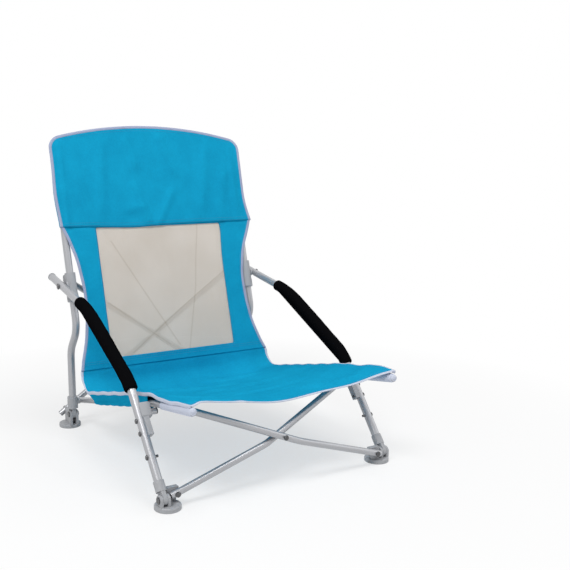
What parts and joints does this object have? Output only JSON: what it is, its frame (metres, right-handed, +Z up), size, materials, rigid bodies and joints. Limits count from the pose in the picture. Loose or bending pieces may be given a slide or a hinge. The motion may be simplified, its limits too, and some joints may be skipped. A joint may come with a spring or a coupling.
{
  "type": "folding camp chair",
  "caption": "Low folding camp chair: silver tube frame with crossed legs, round grey feet and foam arm grips, and a blue cloth sling with a pale mesh back and a headrest hood.",
  "frame": {"origin": "middle of the chair's box on the ground", "axes": "the sitter faces -Y, +X is on the right of someone who looks at the chair's front, +Z is up"},
  "size_m": [0.51, 0.6604, 0.6698],
  "materials": {
    "silver_tube": "silver grey powder coat, satin",
    "grey_plastic": "mid grey moulded plastic",
    "black_plastic": "black moulded plastic",
    "rivet_steel": "plain steel rivets and pins",
    "black_foam": "closed cell foam, matt",
    "blue_cloth": "woven polyester, cyan blue",
    "pale_mesh": "open warp knit mesh, warm light grey",
    "pale_binding": "woven edge tape, pale lavender blue"
  },
  "bodies": {
    "front_foot_left": {"front_foot_left": "grey_plastic", "front_foot_pins_left": "rivet_steel"},
    "arm_leg_left": {"arm_leg_left": "silver_tube", "leg_boot_left": "grey_plastic", "foam_grip_left": "black_foam", "arm_end_cap_left": "grey_plastic", "leg_bracket_left": "grey_plastic", "leg_rivets_left": "rivet_steel", "rest_stub_left": "silver_tube", "rest_stub_cap_left": "black_plastic"},
    "arm_bracket_left": {"arm_bracket_left": "grey_plastic", "arm_rivet_left": "rivet_steel"},
    "upright_left": {"upright_left": "silver_tube", "upright_boot_left": "grey_plastic", "upright_cap_left": "grey_plastic", "rail_pin_left": "rivet_steel", "headrest_hood": "blue_cloth", "hood_binding": "pale_binding", "back_panel": "blue_cloth", "mesh_panel": "pale_mesh", "back_bindings": "pale_binding"},
    "rear_foot_left": {"rear_foot_left": "grey_plastic", "rear_foot_pins_left": "rivet_steel"},
    "rear_tube_left": {"rear_tube_left": "silver_tube", "rear_tube_cap_left": "grey_plastic", "rear_cross_rivet": "rivet_steel"},
    "front_tube_left": {"front_tube_left": "silver_tube", "front_tube_cap_left": "grey_plastic"},
    "side_rail_left": {"side_rail_left": "silver_tube", "rail_cap_left": "grey_plastic", "side_sleeve_left": "blue_cloth", "seat_panel": "blue_cloth", "seat_front_binding": "pale_binding", "seat_side_bindings": "pale_binding"},
    "front_foot_right": {"front_foot_right": "grey_plastic", "front_foot_pins_right": "rivet_steel"},
    "arm_leg_right": {"arm_leg_right": "silver_tube", "leg_boot_right": "grey_plastic", "foam_grip_right": "black_foam", "arm_end_cap_right": "grey_plastic", "leg_bracket_right": "grey_plastic", "leg_rivets_right": "rivet_steel", "rest_stub_right": "silver_tube", "rest_stub_cap_right": "black_plastic"},
    "arm_bracket_right": {"arm_bracket_right": "grey_plastic", "arm_rivet_right": "rivet_steel"},
    "upright_right": {"upright_right": "silver_tube", "upright_boot_right": "grey_plastic", "upright_cap_right": "grey_plastic", "rail_pin_right": "rivet_steel"},
    "rear_foot_right": {"rear_foot_right": "grey_plastic", "rear_foot_pins_right": "rivet_steel"},
    "rear_tube_right": {"rear_tube_right": "silver_tube", "rear_tube_cap_right": "grey_plastic"},
    "front_tube_right": {"front_tube_right": "silver_tube", "front_tube_cap_right": "grey_plastic", "front_cross_rivet": "rivet_steel"},
    "side_rail_right": {"side_rail_right": "silver_tube", "rail_cap_right": "grey_plastic", "side_sleeve_right": "blue_cloth"}
  },
  "joints": [
    {"name": "fold", "type": "hinge", "parent": "front_foot_left", "child": "arm_leg_left", "pos_m": [-0.241, -0.26635, 0.02], "axis": [1, 0, 0], "range_deg": [0, 46]},
    {"name": "arm_left_turn", "type": "hinge", "parent": "arm_leg_left", "child": "arm_bracket_left", "pos_m": [-0.241, 0.22165, 0.32426], "axis": [-1, 0, 0], "range_deg": [0, 38.01]},
    {"name": "bracket_left_slide", "type": "slide", "parent": "arm_bracket_left", "child": "upright_left", "axis": [0, -0.2696, -0.963], "range_m": [0, 0.2321]},
    {"name": "rear_foot_left_turn", "type": "hinge", "parent": "upright_left", "child": "rear_foot_left", "pos_m": [-0.22, 0.24165, 0.032], "axis": [-1, 0, 0], "range_deg": [0, 8.01]},
    {"name": "rear_tube_left_turn", "type": "hinge", "parent": "rear_foot_left", "child": "rear_tube_left", "pos_m": [-0.222, 0.28015, 0.034], "axis": [0, -1, 0], "range_deg": [0, 46.01]},
    {"name": "rear_crossing_turn", "type": "hinge", "parent": "rear_tube_left", "child": "rear_tube_right", "pos_m": [0, 0.27265, 0.185], "axis": [0, 1, 0], "range_deg": [0, 92.01], "deforming": ["headrest_hood", "hood_binding", "back_panel", "mesh_panel", "back_bindings", "seat_panel", "seat_front_binding", "seat_side_bindings"]},
    {"name": "rear_foot_right_swing", "type": "hinge", "parent": "rear_tube_right", "child": "rear_foot_right", "pos_m": [0.222, 0.26515, 0.034], "axis": [0, -1, 0], "range_deg": [0, 46.01]},
    {"name": "rear_foot_right_turn", "type": "hinge", "parent": "rear_foot_right", "child": "upright_right", "pos_m": [0.22, 0.24165, 0.032], "axis": [1, 0, 0], "range_deg": [0, 8.01]},
    {"name": "bracket_right_slide", "type": "slide", "parent": "upright_right", "child": "arm_bracket_right", "axis": [0, 0.2696, 0.963], "range_m": [0, 0.2321]},
    {"name": "arm_right_turn", "type": "hinge", "parent": "arm_bracket_right", "child": "arm_leg_right", "pos_m": [0.241, 0.22165, 0.32426], "axis": [1, 0, 0], "range_deg": [0, 38.01]},
    {"name": "front_foot_right_turn", "type": "hinge", "parent": "arm_leg_right", "child": "front_foot_right", "pos_m": [0.241, -0.26635, 0.02], "axis": [-1, 0, 0], "range_deg": [0, 46.01]},
    {"name": "rail_left_turn", "type": "hinge", "parent": "upright_left", "child": "side_rail_left", "pos_m": [-0.197, 0.24165, 0.06], "axis": [-1, 0, 0], "range_deg": [0, 68.01]},
    {"name": "rail_right_turn", "type": "hinge", "parent": "upright_right", "child": "side_rail_right", "pos_m": [0.197, 0.24165, 0.06], "axis": [-1, 0, 0], "range_deg": [0, 68.01]},
    {"name": "front_tube_left_turn", "type": "hinge", "parent": "front_foot_left", "child": "front_tube_left", "pos_m": [-0.214, -0.26035, 0.024], "axis": [0, -1, 0], "range_deg": [0, 67.01]},
    {"name": "front_tube_right_turn", "type": "hinge", "parent": "front_foot_right", "child": "front_tube_right", "pos_m": [0.214, -0.27835, 0.024], "axis": [0, 1, 0], "range_deg": [0, 67.01]}
  ],
  "couplings": [
    {"joint": "arm_left_turn", "follows": "fold", "ratio": 0.82609},
    {"joint": "bracket_left_slide", "follows": "fold", "m_per_rad": 0.28897},
    {"joint": "rear_foot_left_turn", "follows": "fold", "ratio": 0.17391},
    {"joint": "rear_tube_left_turn", "follows": "fold", "ratio": 1},
    {"joint": "rear_crossing_turn", "follows": "fold", "ratio": 2},
    {"joint": "rear_foot_right_swing", "follows": "fold", "ratio": 1},
    {"joint": "rear_foot_right_turn", "follows": "fold", "ratio": 0.17391},
    {"joint": "bracket_right_slide", "follows": "fold", "m_per_rad": 0.28897},
    {"joint": "arm_right_turn", "follows": "fold", "ratio": 0.82609},
    {"joint": "front_foot_right_turn", "follows": "fold", "ratio": 1},
    {"joint": "rail_left_turn", "follows": "fold", "ratio": 1.4783},
    {"joint": "rail_right_turn", "follows": "fold", "ratio": 1.4783},
    {"joint": "front_tube_left_turn", "follows": "fold", "ratio": 1.4565},
    {"joint": "front_tube_right_turn", "follows": "fold", "ratio": 1.4565}
  ]
}
